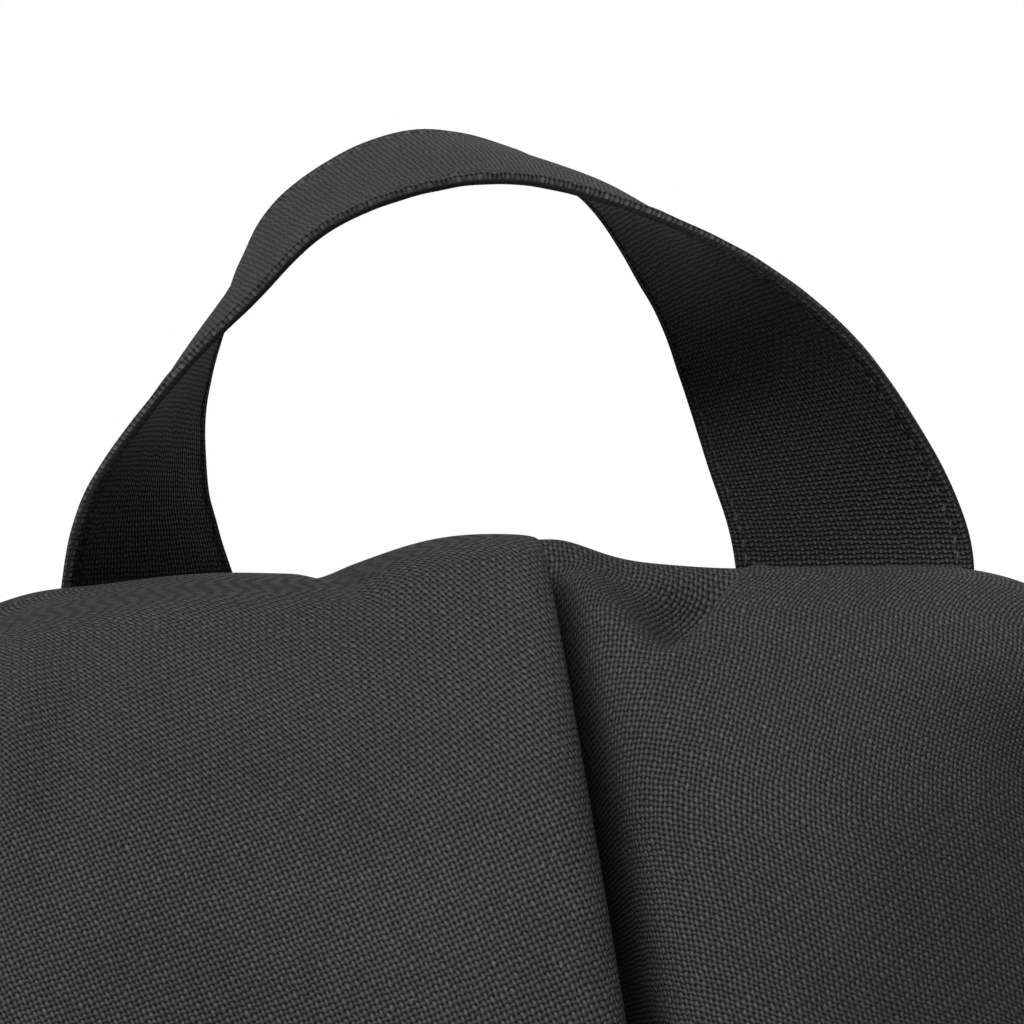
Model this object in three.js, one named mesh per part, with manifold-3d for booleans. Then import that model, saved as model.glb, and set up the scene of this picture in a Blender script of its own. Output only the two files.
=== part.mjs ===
// A saddle sandbag for weighing down stands: two sand-filled fabric pouches joined by a band that
// lies over a stand's leg, with a carrying strap of the same fabric sewn along the band.
// Millimetres, +Z up. X runs along the band, the front pouch is on -Y and the back pouch on +Y.
// The origin is on the surface that the bag stands on, under its middle.
import * as THREE from 'three';
import { mergeVertices } from 'three/addons/utils/BufferGeometryUtils.js';
import Module from 'manifold-3d';

const wasm = await Module();
wasm.setup();

// Driving dimensions
const BAG_WIDTH = 250;          // along the band
const BAG_DEPTH = 216;          // over both pouches
const BAND_LEVEL = 255;         // middle of the band's upper face
const CREST_RISE = 7.5;         // how far the band's front edge stands above its middle
const BACK_FALL = 5;            // how far its back edge hangs below its middle
const BAND_HALF = 19.5;         // half the band's width
const FABRIC = 1.2;             // cover and band wall
const GAP = 0.4;                // between pieces that are sewn or laid together
const SAND_DROP = 27.5;         // from a pouch's crest down to its settled sand
const POUCH_GAP = 6;            // between the two pouches near the floor
const END_ROUND = 32;           // length over which a pouch closes to its side seam
const SEAM_SHARE = 0.2;         // thickness left at the side seam, as a share of the full one
const END_DROP = 0.05;          // how much lower a pouch is at its side seams, as a share of its height

const ZIP_LEVEL = 72;           // zip centre line above the floor
const ZIP_HALF = 76;            // half the length of the toothed part
const SLIDER_X = 70;            // slider centre when closed

const STRAP_LAYER = 1;          // thickness of each of the strap's two layers
const FOOT_HEIGHT = 12;         // where the strap starts to bend over, above the band
const TILT_LIMIT = 35;          // degrees that the strap leans forwards or back

// The strap's two edges from the left foot over the arch to the right foot: [x, y, height above
// the band's middle]. The feet stand across the band at an angle, so the strap twists on its way up.
const STRAP_NEAR = [
  [-80, -17, 0], [-77, -20, 16], [-72, -21, 27], [-61.5, -23, 40], [-46.5, -22, 55], [-31, -22, 70.5],
  [-7, -23, 78], [15, -23, 75], [38, -21, 66], [59, -17, 50], [73, -12, 31], [81, -10, 14], [83, -10, 0],
];
const STRAP_FAR = [
  [-50, 17, -5], [-55, 20, 9], [-57, 21, 18], [-57, 23, 32], [-52, 22, 50], [-41, 22, 69],
  [-17, 23, 80.5], [13, 23, 71.5], [26, 21, 52], [32, 17, 36], [36, 12, 21], [40, 10, 9], [42, 10, -5],
];

// ---------------------------------------------------------------- solids

function solidOf(geometry) {
  const bare = geometry.clone();
  bare.deleteAttribute('normal');
  bare.deleteAttribute('uv');
  const merged = mergeVertices(bare, 1e-4);
  return new wasm.Manifold(new wasm.Mesh({
    numProp: 3,
    vertProperties: new Float32Array(merged.attributes.position.array),
    triVerts: new Uint32Array(merged.index.array),
  }));
}

function geometryOf(solid) {
  const mesh = solid.getMesh();
  const indexed = new THREE.BufferGeometry();
  indexed.setAttribute('position', new THREE.BufferAttribute(new Float32Array(mesh.vertProperties), 3));
  indexed.setIndex(new THREE.BufferAttribute(new Uint32Array(mesh.triVerts), 1));
  const geometry = indexed.toNonIndexed();
  geometry.computeVertexNormals();
  return geometry;
}

// Triangles that fill a ring, in the ring's own turning direction. Its plane is seen along two axes.
function fillRing(ring, axes) {
  const flat = ring.map((p) => new THREE.Vector2(p[axes[0]], p[axes[1]]));
  const turn = THREE.ShapeUtils.area(flat);
  return THREE.ShapeUtils.triangulateShape(flat, []).map(([a, b, c]) => (
    THREE.ShapeUtils.area([flat[a], flat[b], flat[c]]) * turn > 0 ? [a, b, c] : [a, c, b]
  ));
}

function signedVolume(points, triangles) {
  return triangles.reduce((sum, [a, b, c]) => (
    sum + points[a].dot(new THREE.Vector3().crossVectors(points[b], points[c])) / 6
  ), 0);
}

// A closed body through rings of equally many points, facing out. The second half of a ring has its
// facets' diagonals the other way, so that a thin, twisted sheet has the same facets on both faces.
function loft(rings, capAxes) {
  const count = rings[0].length;
  const last = (rings.length - 1) * count;
  const points = rings.flat();
  const triangles = [
    ...fillRing(rings[0], capAxes).map(([a, b, c]) => [a, c, b]),
    ...fillRing(rings.at(-1), capAxes).map((corners) => corners.map((i) => last + i)),
  ];
  for (let row = 0; row < last; row += count) {
    for (let i = 0; i < count; i += 1) {
      const [a, b] = [row + i, row + (i + 1) % count];
      const [c, d] = [a + count, b + count];
      triangles.push(...(2 * i < count ? [[a, b, c], [b, d, c]] : [[a, b, d], [a, d, c]]));
    }
  }
  const inwards = signedVolume(points, triangles) < 0;
  const geometry = new THREE.BufferGeometry();
  geometry.setAttribute('position', new THREE.Float32BufferAttribute(points.flatMap((p) => p.toArray()), 3));
  geometry.setIndex(triangles.flatMap(([a, b, c]) => (inwards ? [a, c, b] : [a, b, c])));
  geometry.computeVertexNormals();
  return geometry;
}

function boxSolid(low, high) {
  const size = high.map((v, i) => v - low[i]);
  const geometry = new THREE.BoxGeometry(...size);
  geometry.translate(...low.map((v, i) => v + size[i] / 2));
  return solidOf(geometry);
}

const joined = (...solids) => solids.reduce((a, b) => a.add(b));

// ---------------------------------------------------------------- materials

const material = (color, roughness, metalness = 0) =>
  new THREE.MeshStandardMaterial({ color, roughness, metalness });
const BAG_CLOTH = material(0x303032, 0.85);
const STRAP_CLOTH = material(0x2d2d2f, 0.85);
const LINING_CLOTH = material(0x242426, 0.9);
const LINER_FILM = material(0x2b2c2e, 0.5);
const SAND = material(0xb59b6d, 0.95);
const ZIP_CLOTH = material(0x121213, 0.9);
const ZIP_NYLON = material(0x0d0d0e, 0.45);
const ZIP_METAL = material(0x1b1b1c, 0.35, 0.8);

const model = new THREE.Group();

function addPart(parent, name, shape, finish) {
  const geometry = shape.isBufferGeometry ? shape : geometryOf(shape);
  const mesh = new THREE.Mesh(geometry, finish);
  mesh.name = name;
  parent.add(mesh);
}

// ---------------------------------------------------------------- pouches

const MIDDLE_DEPTH = (BAG_DEPTH + POUCH_GAP) / 4;   // a pouch's middle plane
const HALF_DEPTH = (BAG_DEPTH - POUCH_GAP) / 4;
const FRONT_CREST = BAND_LEVEL + CREST_RISE;
const BACK_CREST = BAND_LEVEL - BACK_FALL;
const FACE = BAG_DEPTH / 2;                         // distance of the flat outer face from the middle
const POUCH_NECK = 21.5;                            // inner top edge of a pouch

// Cross-section of a pouch of that height: x is the distance from the bag's middle plane, y the level.
function pouchOutline(crest) {
  const inner = POUCH_GAP / 2;
  const outline = new THREE.Shape();
  outline.moveTo(POUCH_NECK, crest - 5.5);
  outline.quadraticCurveTo(POUCH_NECK + 0.5, crest, POUCH_NECK + 8.5, crest);
  outline.bezierCurveTo(70, crest, FACE, 205, FACE, 115);
  outline.lineTo(FACE, 34);
  outline.quadraticCurveTo(FACE, 0, FACE - 24, 0);
  outline.lineTo(inner + 24, 0);
  outline.quadraticCurveTo(inner, 0, inner, 34);
  outline.lineTo(inner, 95);
  outline.bezierCurveTo(inner, 150, 19.5, 205, POUCH_NECK, crest - 5.5);
  return outline.getPoints(4).slice(0, -1);
}

// How much of its full thickness a pouch keeps at x.
function thicknessShare(x) {
  const past = Math.max(0, Math.abs(x) - (BAG_WIDTH / 2 - END_ROUND)) / END_ROUND;
  return SEAM_SHARE + (1 - SEAM_SHARE) * Math.sqrt(1 - past * past);
}

// The body of a pouch of that height, drawn in by inset on every side.
function pouchBody(crest, inset) {
  const outline = pouchOutline(crest);
  const half = BAG_WIDTH / 2;
  const mid = crest / 2;
  const ends = [1, 0.92, 0.75, 0.45, 0].map((past) => half - END_ROUND * (1 - past));
  const stations = [...ends.map((x) => -x), 0, ...ends.toReversed()];
  const rings = stations.map((x) => {
    const share = thicknessShare(x);
    const across = share - inset / HALF_DEPTH;
    const up = (1 - inset / mid) * (1 - END_DROP * (1 - share));
    return outline.map((p) => new THREE.Vector3(
      x * (1 - inset / half),
      -(MIDDLE_DEPTH + (p.x - MIDDLE_DEPTH) * across),
      inset + p.y * up,
    ));
  });
  return solidOf(loft(rings, ['y', 'z']));
}

// Zip parts, on the outer face of a pouch. Depths are measured inwards from that face.
const ZIP_SLOT = 4.5;           // half the height of the slot in the cover
const TEETH = { near: 0.7, far: 2.9, out: -0.2, in: 2.2 };
const TAPE = { near: 3.2, far: 11, out: 1.6, in: 2.4 };
const STOP_LENGTH = 2.5;

function zipBox(x, height, depth) {
  const corner = (i) => [x[i], -FACE + depth[i], ZIP_LEVEL + height[i]];
  return boxSolid(corner(0), corner(1));
}

function zipSlider() {
  const length = [SLIDER_X - 5.5, SLIDER_X + 5.5];
  const front = zipBox(length, [-5, 5], [-2, -0.6]);
  const cheeks = [-1, 1].map((s) => zipBox(length, s < 0 ? [-4.1, -3.3] : [3.3, 4.1], [-1, 1.1]));
  const divider = zipBox([SLIDER_X - 1.5, SLIDER_X + 3.5], [-0.35, 0.35], [-1, 3]);
  const back = zipBox(length, [-2.8, 2.8], [2.6, 3.4]);
  const posts = [-3.6, 3.6].map((s) => (
    zipBox([SLIDER_X + s - 0.7, SLIDER_X + s + 0.7], [-1.5, 1.5], [-5.2, -1.4])
  ));
  const bridge = zipBox([SLIDER_X - 4.3, SLIDER_X + 4.3], [-1.5, 1.5], [-5.8, -4.9]);
  return joined(front, ...cheeks, divider, back, ...posts, bridge);
}

const PULL_PIN_DEPTH = -3.5;    // pull hinge axis, in front of the outer face
const PULL_LENGTH = 26;

function zipPull() {
  const [thin, arm] = [0.65, 7];
  const depth = [PULL_PIN_DEPTH - thin, PULL_PIN_DEPTH + thin];
  const pin = zipBox([SLIDER_X - thin, SLIDER_X + thin], [-3.4, 3.4], depth);
  const arms = [-1, 1].map((s) => zipBox(
    [SLIDER_X - thin, SLIDER_X + arm], s < 0 ? [-3.4, -2.1] : [2.1, 3.4], depth,
  ));
  const tab = new THREE.CylinderGeometry(4, 4, 2 * thin, 16);
  tab.translate(SLIDER_X + PULL_LENGTH - 4, -FACE + PULL_PIN_DEPTH, ZIP_LEVEL);
  const blade = zipBox([SLIDER_X + arm - 1, SLIDER_X + PULL_LENGTH - 4], [-3.4, 3.4], depth);
  return joined(pin, ...arms, blade, solidOf(tab));
}

function addPouch(side, crest, turn) {
  const pouch = new THREE.Group();
  pouch.rotation.z = turn;
  model.add(pouch);

  const slot = zipBox([-ZIP_HALF - 6, ZIP_HALF + 6], [-ZIP_SLOT, ZIP_SLOT], [-5, 2]);
  const cover = pouchBody(crest, 0).subtract(pouchBody(crest, FABRIC)).subtract(slot);
  addPart(pouch, `${side}_cover`, cover, BAG_CLOTH);

  const mouth = zipBox([-60, 60], [14, 18], [-5, 8]);
  const liner = pouchBody(crest, 4.2).subtract(pouchBody(crest, 5)).subtract(mouth);
  addPart(pouch, `${side}_liner`, liner, LINER_FILM);
  const room = boxSolid([-BAG_WIDTH, -BAG_DEPTH, 0], [BAG_WIDTH, 0, crest - SAND_DROP]);
  addPart(pouch, `${side}_sand`, pouchBody(crest, 8).intersect(room), SAND);

  for (const [half, s] of [['upper', 1], ['lower', -1]]) {
    const span = (part) => (s > 0 ? [part.near, part.far] : [-part.far, -part.near]);
    const tape = zipBox([-ZIP_HALF - 8, ZIP_HALF + 8], span(TAPE), [TAPE.out, TAPE.in]);
    addPart(pouch, `${side}_zip_tape_${half}`, tape, ZIP_CLOTH);
    const teeth = zipBox([-ZIP_HALF, ZIP_HALF], span(TEETH), [TEETH.out, TEETH.in]);
    addPart(pouch, `${side}_zip_teeth_${half}`, teeth, ZIP_NYLON);
  }
  const ends = [['end_stop', -ZIP_HALF - GAP - STOP_LENGTH], ['top_stop', ZIP_HALF + GAP]];
  for (const [name, x] of ends) {
    const stop = zipBox([x, x + STOP_LENGTH], [-2.9, 2.9], [TEETH.out, TEETH.in]);
    addPart(pouch, `${side}_zip_${name}`, stop, ZIP_METAL);
  }
  addPart(pouch, `${side}_zip_slider`, zipSlider(), ZIP_METAL);
  addPart(pouch, `${side}_zip_pull`, zipPull(), ZIP_METAL);
}

// ---------------------------------------------------------------- band

const bandTop = (y) => BAND_LEVEL + (y < 0 ? CREST_RISE : -BACK_FALL) * (y / (BAND_HALF + 1)) ** 2;

// A sheet that follows the band's curve, between two heights over its upper face.
function bandSheet(x, half, low, high) {
  const steps = 2 * Math.ceil(half / 3.4);
  const ys = Array.from({ length: steps + 1 }, (_, i) => -half + (2 * half * i) / steps);
  const face = (level) => ys.map((y) => [y, bandTop(y) + level]);
  const profile = [...face(low), ...face(high).reverse()];
  return loft(x.map((at) => profile.map(([y, z]) => new THREE.Vector3(at, y, z))), ['y', 'z']);
}

const PATCH = { low: 0.3, high: 1.1, half: 17 };

function addBand() {
  const reach = BAG_WIDTH / 2 - 8;
  addPart(model, 'saddle_band', bandSheet([-reach, reach], BAND_HALF, -FABRIC, 0), BAG_CLOTH);
  const lining = bandSheet([4 - reach, reach - 4], BAND_HALF - 3, -2 * FABRIC - GAP, -FABRIC - GAP);
  addPart(model, 'band_lining', lining, LINING_CLOTH);
  addPart(model, 'handle_patch_left', bandSheet([-88, -42], PATCH.half, PATCH.low, PATCH.high), STRAP_CLOTH);
  addPart(model, 'handle_patch_right', bandSheet([35, 91], PATCH.half, PATCH.low, PATCH.high), STRAP_CLOTH);
}

// ---------------------------------------------------------------- carrying strap

const edgeCurve = (points) => new THREE.CatmullRomCurve3(
  points.map(([x, y, z]) => new THREE.Vector3(x, y, BAND_LEVEL + z)), false, 'centripetal',
);

// One layer of the strap, between two distances from its middle surface.
function strapLayer(inner, outer) {
  const [near, far] = [edgeCurve(STRAP_NEAR), edgeCurve(STRAP_FAR)];
  const steps = 48;
  const rings = Array.from({ length: steps + 1 }, (_, i) => {
    const t = i / steps;
    const [a, b] = [near.getPoint(t), far.getPoint(t)];
    const along = near.getTangent(t).add(far.getTangent(t));
    const away = new THREE.Vector3().crossVectors(along, b.clone().sub(a)).normalize();
    const corner = (p, d) => p.clone().addScaledVector(away, d);
    return [corner(a, inner), corner(b, inner), corner(b, outer), corner(a, outer)];
  });
  return solidOf(loft(rings, ['x', 'y']));
}

function prism(profile) {
  const ring = (x) => profile.map(([y, z]) => new THREE.Vector3(x, y, z));
  return solidOf(loft([ring(-BAG_WIDTH), ring(BAG_WIDTH)], ['y', 'z']));
}

function addStrap() {
  const pivot = BAND_LEVEL + FOOT_HEIGHT;
  const rise = 60 * Math.tan(THREE.MathUtils.degToRad(TILT_LIMIT + 1));
  const below = prism([[-60, 0], [60, 0], [60, pivot + rise], [0, pivot], [-60, pivot + rise]]);
  const [inside, outside] = [GAP / 2, GAP / 2 + STRAP_LAYER];
  addPart(model, 'handle_strap_outer', strapLayer(inside, outside).subtract(below), STRAP_CLOTH);
  addPart(model, 'handle_strap_lining', strapLayer(-outside, -inside).subtract(below), STRAP_CLOTH);

  const sewn = strapLayer(-outside, outside);
  const hollow = solidOf(bandSheet([-BAG_WIDTH, BAG_WIDTH], 60, -100, PATCH.high + GAP));
  for (const [name, low, high] of [['left', -BAG_WIDTH, 0], ['right', 0, BAG_WIDTH]]) {
    const room = boxSolid([low, -60, 0], [high, 60, pivot - GAP]);
    addPart(model, `handle_foot_${name}`, sewn.intersect(room).subtract(hollow), STRAP_CLOTH);
  }
}

addPouch('front', FRONT_CREST, 0);
addPouch('back', BACK_CREST, Math.PI);
addBand();
addStrap();

export default model;
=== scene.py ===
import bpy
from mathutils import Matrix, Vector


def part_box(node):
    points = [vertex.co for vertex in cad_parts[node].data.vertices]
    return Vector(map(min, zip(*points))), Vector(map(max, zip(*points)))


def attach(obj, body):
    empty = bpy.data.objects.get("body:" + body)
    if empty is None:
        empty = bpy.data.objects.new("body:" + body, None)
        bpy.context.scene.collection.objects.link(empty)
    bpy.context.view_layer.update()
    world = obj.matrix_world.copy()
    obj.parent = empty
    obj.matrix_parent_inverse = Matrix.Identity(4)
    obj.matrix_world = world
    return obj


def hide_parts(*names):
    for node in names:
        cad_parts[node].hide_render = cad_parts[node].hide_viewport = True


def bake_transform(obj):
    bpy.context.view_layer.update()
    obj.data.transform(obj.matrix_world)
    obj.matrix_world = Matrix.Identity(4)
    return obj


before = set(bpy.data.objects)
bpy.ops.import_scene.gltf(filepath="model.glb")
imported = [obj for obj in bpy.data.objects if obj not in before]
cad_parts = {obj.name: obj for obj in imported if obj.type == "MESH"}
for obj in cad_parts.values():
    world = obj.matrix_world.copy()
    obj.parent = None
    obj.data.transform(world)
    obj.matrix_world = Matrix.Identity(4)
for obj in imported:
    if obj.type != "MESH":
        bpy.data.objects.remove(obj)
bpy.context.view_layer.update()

# A saddle sandbag of black woven cloth. Shapes are worked out in millimetres in the row frame:
# X along the band, the front pouch on -Y, +Z up. Meshes are written in metres.
import copy
import math

import bpy
import numpy as np

MM = 0.001


def box_mm(node):
    return [np.array(corner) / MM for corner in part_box(node)]


# ---------------------------------------------------------------- sizes, from the frame

COVER_LOW, COVER_HIGH = box_mm("front_cover")
SLIDER_LOW, SLIDER_HIGH = box_mm("front_zip_slider")
BAND_REACH, BAND_HALF, _ = box_mm("saddle_band")[1]
HALF_WIDTH = COVER_HIGH[0]
FACE = -COVER_LOW[1]                    # the flat outer face, from the bag's middle plane
POUCH_MIDDLE = (FACE - COVER_HIGH[1]) / 2
FRONT_CREST = COVER_HIGH[2]
BACK_CREST = box_mm("back_cover")[1][2]
CREST_RISE = 7.5                        # the band's front edge, above its middle
BAND_LEVEL = FRONT_CREST - CREST_RISE
ZIP_LEVEL = (SLIDER_LOW[2] + SLIDER_HIGH[2]) / 2
ZIP_HALF = box_mm("front_zip_teeth_upper")[1][0]
SEED = 7                                # for every irregular shape


# ---------------------------------------------------------------- numbers

def ramp(low, high, value):
    """0 below low, 1 above high, and a smooth rise between."""
    t = np.clip((value - low) / (high - low), 0, 1)
    return t * t * (3 - 2 * t)


def bell(value, width):
    return np.exp(-((value / width) ** 2))


def arc_lengths(points):
    steps = np.linalg.norm(np.diff(points, axis=0), axis=-1)
    return np.concatenate([[0], np.cumsum(steps)])


def resample(points, at):
    along = arc_lengths(points)
    return np.stack([np.interp(at, along, points[:, k]) for k in range(points.shape[1])], axis=1)


def bspline(points, closed, fine=24):
    """A dense cubic B-spline through control points; an open one reaches its end points."""
    p = np.array(points, float)
    if closed:
        p = np.concatenate([p[-1:], p, p[:2]])
    else:
        p = np.concatenate([2 * p[:1] - p[1:2], p, 2 * p[-1:] - p[-2:-1]])
    out = []
    for a, b, c, d in zip(p[:-3], p[1:-2], p[2:-1], p[3:]):
        t = np.linspace(0, 1, fine, endpoint=False)[:, None]
        out.append(((1 - t) ** 3 * a + (3 * t**3 - 6 * t**2 + 4) * b
                    + (-3 * t**3 + 3 * t**2 + 3 * t + 1) * c + t**3 * d) / 6)
    last = (p[-3] + 4 * p[-2] + p[-1]) / 6
    return np.concatenate(out + [last[None]])


def ripples(seed, u, v, size, count=7):
    """Soft irregular waves of about that size, between -1 and 1."""
    rng = np.random.default_rng(SEED + seed)
    total = np.zeros(np.broadcast(u, v).shape)
    for _ in range(count):
        turn, phase, scale = rng.uniform(0, math.tau), rng.uniform(0, math.tau), rng.uniform(0.7, 1.5)
        total += np.sin((u * math.cos(turn) + v * math.sin(turn)) * math.tau / (size * scale) + phase)
    return total / math.sqrt(2 * count)


# ---------------------------------------------------------------- meshes

def new_object(name, vertices, faces, material, smooth=True):
    mesh = bpy.data.meshes.new(name)
    mesh.from_pydata((np.asarray(vertices) * MM).tolist(), [], faces)
    mesh.materials.append(material)
    mesh.polygons.foreach_set("use_smooth", [smooth] * len(mesh.polygons))
    mesh.update()
    obj = bpy.data.objects.new(name, mesh)
    bpy.context.collection.objects.link(obj)
    return obj


def grid_faces(rows, columns, wrap_rows=False, wrap_columns=False):
    i = np.arange(rows if wrap_rows else rows - 1)
    j = np.arange(columns if wrap_columns else columns - 1)
    a, b = np.meshgrid(i, j, indexing="ij")
    down, right = (a + 1) % rows, (b + 1) % columns
    quads = [a * columns + b, a * columns + right, down * columns + right, down * columns + b]
    return np.stack(quads, axis=-1).reshape(-1, 4)


def set_cloth_uv(obj, uv_mm):
    """Cloth coordinates in metres, one pair for each vertex, as the UV map named cloth."""
    layer = obj.data.uv_layers.new(name="cloth")
    corners = np.zeros(len(obj.data.loops), int)
    obj.data.loops.foreach_get("vertex_index", corners)
    layer.data.foreach_set("uv", (np.asarray(uv_mm).reshape(-1, 2)[corners] * MM).ravel())


def apply_modifiers(obj):
    bpy.context.view_layer.update()
    mesh = bpy.data.meshes.new_from_object(obj.evaluated_get(bpy.context.evaluated_depsgraph_get()))
    obj.modifiers.clear()
    old, obj.data = obj.data, mesh
    mesh.name = obj.name
    bpy.data.meshes.remove(old)
    return obj


def subdivided(obj, levels=1):
    subdivision = obj.modifiers.new("Subdivision", "SUBSURF")
    subdivision.levels = subdivision.render_levels = levels
    return apply_modifiers(obj)


def tube_faces(rings, sides):
    """Faces of a tube with its ends closed."""
    faces = grid_faces(rings, sides, wrap_columns=True).tolist()
    faces.append(list(range(sides))[::-1])
    faces.append([(rings - 1) * sides + k for k in range(sides)])
    return faces


def tube(path, radius, sides=8):
    """Vertices and faces of a round tube along a path."""
    path = np.asarray(path, float)
    along = np.gradient(path, axis=0)
    along /= np.linalg.norm(along, axis=1)[:, None]
    up = np.array([0.31, 0.17, 0.93])
    side = np.cross(along, up)
    side /= np.linalg.norm(side, axis=1)[:, None]
    other = np.cross(along, side)
    turn = np.arange(sides) * math.tau / sides
    ring = np.cos(turn)[None, :, None] * side[:, None] + np.sin(turn)[None, :, None] * other[:, None]
    vertices = (path[:, None] + ring * np.broadcast_to(np.asarray(radius), (len(path),))[:, None, None])
    return vertices.reshape(-1, 3), tube_faces(len(path), sides)


def joined(parts):
    """One list of vertices and faces out of several."""
    vertices, faces, start = [], [], 0
    for v, f in parts:
        vertices.append(v)
        faces.extend([[start + k for k in face] for face in f])
        start += len(v)
    return np.concatenate(vertices), faces


# ---------------------------------------------------------------- materials

class Nodes:
    """Short calls for a material's node tree. Arguments are sockets or numbers."""

    def __init__(self, name):
        self.material = bpy.data.materials.new(name)
        self.material.use_nodes = True
        self.tree = self.material.node_tree
        self.shader = self.tree.nodes["Principled BSDF"]

    def put(self, socket, value):
        if isinstance(value, bpy.types.NodeSocket):
            self.tree.links.new(value, socket)
        else:
            socket.default_value = value

    def add(self, kind, settings=(), **inputs):
        node = self.tree.nodes.new(kind)
        for key, value in dict(settings).items():
            setattr(node, key, value)
        for key, value in inputs.items():
            self.put(node.inputs[key.replace("_", " ")], value)
        return node

    def math(self, operation, a, b=0.0, clamp=False):
        node = self.tree.nodes.new("ShaderNodeMath")
        node.operation, node.use_clamp = operation, clamp
        self.put(node.inputs[0], a)
        self.put(node.inputs[1], b)
        return node.outputs[0]

    def noise(self, vector, scale, detail=2.0, roughness=0.5):
        node = self.add("ShaderNodeTexNoise", Vector=vector, Scale=scale, Detail=detail, Roughness=roughness)
        return node.outputs["Fac"]

    def spread(self, value, low, high, to_low, to_high):
        node = self.tree.nodes.new("ShaderNodeMapRange")
        for socket, given in zip(node.inputs[:5], (value, low, high, to_low, to_high)):
            self.put(socket, given)
        return node.outputs[0]

    def tint(self, colour, factor):
        """A fixed colour times a changing brightness."""
        node = self.tree.nodes.new("ShaderNodeVectorMath")
        node.operation = "SCALE"
        node.inputs[0].default_value = colour
        self.put(node.inputs["Scale"], factor)
        return node.outputs[0]

    def bump(self, height, distance, strength=1.0, normal=None):
        node = self.add("ShaderNodeBump", Height=height, Distance=distance, Strength=strength)
        if normal is not None:
            self.put(node.inputs["Normal"], normal)
        return node.outputs["Normal"]

    def finish(self, **inputs):
        for key, value in inputs.items():
            self.put(self.shader.inputs[key.replace("_", " ")], value)
        return self.material


def woven(name, colour, warp_pitch, weft_pitch, depth=0.0003):
    """Plain-woven cloth along the cloth UV map: plump yarns one way, flatter ones across them, painted shade
    down the yarns' sides and in the gaps at the corners between, and a painted sheen on one way's floats."""
    n = Nodes(name)
    uv = n.add("ShaderNodeUVMap", {"uv_map": "cloth"}).outputs[0]
    wander = n.add("ShaderNodeTexNoise", {"noise_dimensions": "2D"}, Vector=uv, Scale=300.0, Detail=3.0)
    shifted = n.add("ShaderNodeVectorMath", {"operation": "MULTIPLY_ADD"})
    n.put(shifted.inputs[0], wander.outputs["Color"])
    shifted.inputs[1].default_value = (0.0009, 0.0009, 0)
    n.put(shifted.inputs[2], uv)
    split = n.add("ShaderNodeSeparateXYZ", Vector=shifted.outputs[0])
    across = n.math("DIVIDE", split.outputs[0], warp_pitch)
    along = n.math("DIVIDE", split.outputs[1], weft_pitch)

    def yarn(own, other, sign):
        """(how high a yarn stands, its number)."""
        centred = n.math("SUBTRACT", n.math("MULTIPLY", n.math("FRACT", own), 2.0), 1.0)
        narrow = n.math("MULTIPLY", centred, 1.22)
        section = n.math("SQRT", n.math("SUBTRACT", 1.0, n.math("MULTIPLY", narrow, narrow), clamp=True))
        number = n.math("FLOOR", own)
        side = n.math("SUBTRACT", 1.0, n.math("MULTIPLY", n.math("FLOORED_MODULO", number, 2.0), 2.0))
        wave = n.math("MULTIPLY", side, n.math("SINE", n.math("MULTIPLY", other, math.pi)))
        over = n.math("ADD", 0.5, n.math("MULTIPLY", wave, 0.5 * sign))
        return n.math("MULTIPLY", section, over), number

    warp, warp_number = yarn(across, along, 1)
    weft, weft_number = yarn(along, across, -1)
    height = n.math("MAXIMUM", warp, weft)
    on_top = n.math("GREATER_THAN", warp, weft)

    # Each float has its own brightness, and its own filaments, whose streaks are partly the yarn's own tone
    # and partly painted glints.
    key = n.add("ShaderNodeCombineXYZ", X=warp_number, Y=weft_number)
    speckle = n.add("ShaderNodeTexWhiteNoise", {"noise_dimensions": "2D"}, Vector=key.outputs[0])
    fibres = n.noise(shifted.outputs[0], 5200.0, detail=3.0, roughness=0.7)
    patches = n.noise(uv, 35.0, detail=4.0)

    # How far it is to the nearest gap between four yarns.
    sides = [n.math("SUBTRACT", 0.5, n.math("ABSOLUTE", n.math("SUBTRACT", n.math("FRACT", way), 0.5)))
             for way in (across, along)]
    reach = n.math("SQRT", n.math("ADD", *[n.math("MULTIPLY", side, side) for side in sides]))
    # Painted shade: the colour darkens down the sides of each yarn, by its height, and goes to black in the
    # gaps between four yarns.
    bright = n.math("MULTIPLY", n.spread(height, 0.2, 0.9, 0.72, 1.2), n.spread(reach, 0.13, 0.4, 0.0, 1.2))
    # Painted sheen: floats where the warp lies on top are lightened and weft floats darkened, as the two
    # ways catch the light differently.
    bright = n.math("MULTIPLY", bright, n.spread(on_top, 0, 1, 0.78, 1.2))
    bright = n.math("MULTIPLY", bright, n.spread(speckle.outputs[0], 0, 1, 0.84, 1.16))
    # The filaments' streaks: partly the yarn's own tone, partly painted glints.
    bright = n.math("MULTIPLY", bright, n.spread(fibres, 0.3, 0.7, 0.4, 1.6))
    bright = n.math("MULTIPLY", bright, n.spread(patches, 0.3, 0.7, 0.9, 1.1))
    lint = n.math("GREATER_THAN", n.noise(uv, 900.0, detail=1.0), 0.79)
    bright = n.math("ADD", bright, n.math("MULTIPLY", lint, 2.5))

    relief = n.math("ADD", height, n.math("MULTIPLY", fibres, 0.16))
    return n.finish(
        Base_Color=n.tint(colour, bright),
        Roughness=n.spread(height, 0.2, 1.0, 0.85, 0.5),
        Normal=n.bump(relief, depth),
        Sheen_Weight=0.02,
        Sheen_Roughness=0.5,
        Specular_IOR_Level=0.16,
    )


def object_noise(n, scale, detail=3.0, roughness=0.5):
    place = n.add("ShaderNodeTexCoord").outputs["Object"]
    return n.noise(place, scale, detail, roughness)


def thread_material(name, colour):
    """Twisted sewing thread."""
    n = Nodes(name)
    fibres = object_noise(n, 4200.0)
    return n.finish(Base_Color=n.tint(colour, n.spread(fibres, 0.3, 0.7, 0.6, 1.5)), Roughness=0.55,
                    Normal=n.bump(fibres, 0.0001), Sheen_Weight=0.2)


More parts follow.
